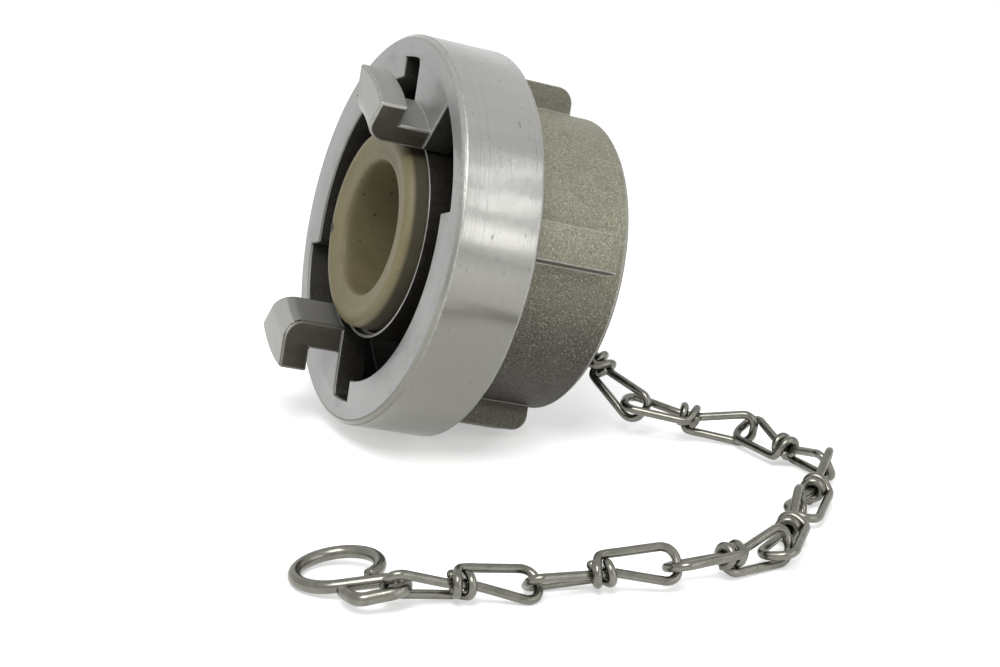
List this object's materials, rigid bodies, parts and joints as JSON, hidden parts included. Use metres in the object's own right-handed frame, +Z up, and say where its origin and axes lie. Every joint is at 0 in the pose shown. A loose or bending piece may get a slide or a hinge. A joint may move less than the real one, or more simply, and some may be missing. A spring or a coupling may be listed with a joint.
{
  "type": "coupling blank cap with chain",
  "caption": "Round coupling cap with hooked lugs, slotted face, grip ribs, rubber seal and turning insert, on a short chain of knotted wire links that ends in a bent wire hook.",
  "frame": {"origin": "middle of the base of the whole object as it lies, on the floor", "axes": "+Z up; the cap's mouth faces -X and 14 degrees upwards; the chain lies on the floor towards +X and -Y and comes back to the hook at -Y"},
  "size_m": [0.0816, 0.0952, 0.056],
  "materials": {
    "cast_body": "cast, with turned face and rim",
    "cast_insert": "cast and turned",
    "seal": "matte, cream grey",
    "spring_wire": "satin",
    "chain_wire": "zinc-plated, slightly dull"
  },
  "bodies": {
    "cap": {"cap_body": "cast_body"},
    "insert": {"blank_insert": "cast_insert", "seal_ring": "seal", "snap_ring": "spring_wire"},
    "chain_ring": {"chain_ring": "chain_wire"},
    "chain_link_1": {"chain_link_1": "chain_wire"},
    "chain_link_2": {"chain_link_2": "chain_wire"},
    "chain_link_3": {"chain_link_3": "chain_wire"},
    "chain_link_4": {"chain_link_4": "chain_wire"},
    "chain_link_5": {"chain_link_5": "chain_wire"},
    "chain_link_6": {"chain_link_6": "chain_wire"},
    "chain_link_7": {"chain_link_7": "chain_wire"},
    "chain_link_8": {"chain_link_8": "chain_wire"},
    "end_hook": {"end_hook": "chain_wire"}
  },
  "joints": [
    {"name": "insert_spin", "type": "hinge", "parent": "cap", "child": "insert", "pos_m": [-0.0131, 0.02008, 0.0295], "axis": [-0.9706, 0, 0.2407], "continuous": true},
    {"name": "chain_ring_swing", "type": "hinge", "parent": "insert", "child": "chain_ring", "pos_m": [0.01617, 0.02008, 0.0209], "axis": [-0.225, 0.9744, 0], "range_deg": [-40, 10]},
    {"name": "chain_link_1_swing", "type": "hinge", "parent": "chain_ring", "child": "chain_link_1", "pos_m": [0.01617, 0.02008, 0.0132], "axis": [-0.225, 0.9744, 0], "range_deg": [-60, 30]},
    {"name": "chain_link_2_swing", "type": "hinge", "parent": "chain_link_1", "child": "chain_link_2", "pos_m": [0.02291, 0.00635, 0.00371], "axis": [0, 0, 1], "range_deg": [-55, 25]},
    {"name": "chain_link_3_swing", "type": "hinge", "parent": "chain_link_2", "child": "chain_link_3", "pos_m": [0.03613, -0.00103, 0.00271], "axis": [0.0616, -0.1439, 0.9877], "range_deg": [-5, 50]},
    {"name": "chain_link_4_swing", "type": "hinge", "parent": "chain_link_3", "child": "chain_link_4", "pos_m": [0.03949, -0.01781, 0.00287], "axis": [0, 0, 1], "range_deg": [-5, 45]},
    {"name": "chain_link_5_swing", "type": "hinge", "parent": "chain_link_4", "child": "chain_link_5", "pos_m": [0.02933, -0.02875, 0.00296], "axis": [-0.1487, 0.065, 0.9867], "range_deg": [-35, 0]},
    {"name": "chain_link_6_swing", "type": "hinge", "parent": "chain_link_5", "child": "chain_link_6", "pos_m": [0.02054, -0.04103, 0.00273], "axis": [-0.0568, 0.3547, 0.9333], "range_deg": [-35, 0]},
    {"name": "chain_link_7_swing", "type": "hinge", "parent": "chain_link_6", "child": "chain_link_7", "pos_m": [0.00351, -0.0444, 0.0033], "axis": [0.0189, 0.5909, 0.8065], "range_deg": [-40, 55]},
    {"name": "chain_link_8_swing", "type": "hinge", "parent": "chain_link_7", "child": "chain_link_8", "pos_m": [-0.01492, -0.04181, 0.00184], "axis": [-0.1583, -0.7947, 0.586], "range_deg": [-35, 60]},
    {"name": "end_hook_swing", "type": "hinge", "parent": "chain_link_8", "child": "end_hook", "pos_m": [-0.03219, -0.04034, 0.00343], "axis": [0, 0, 1], "range_deg": [-10, 40]}
  ]
}
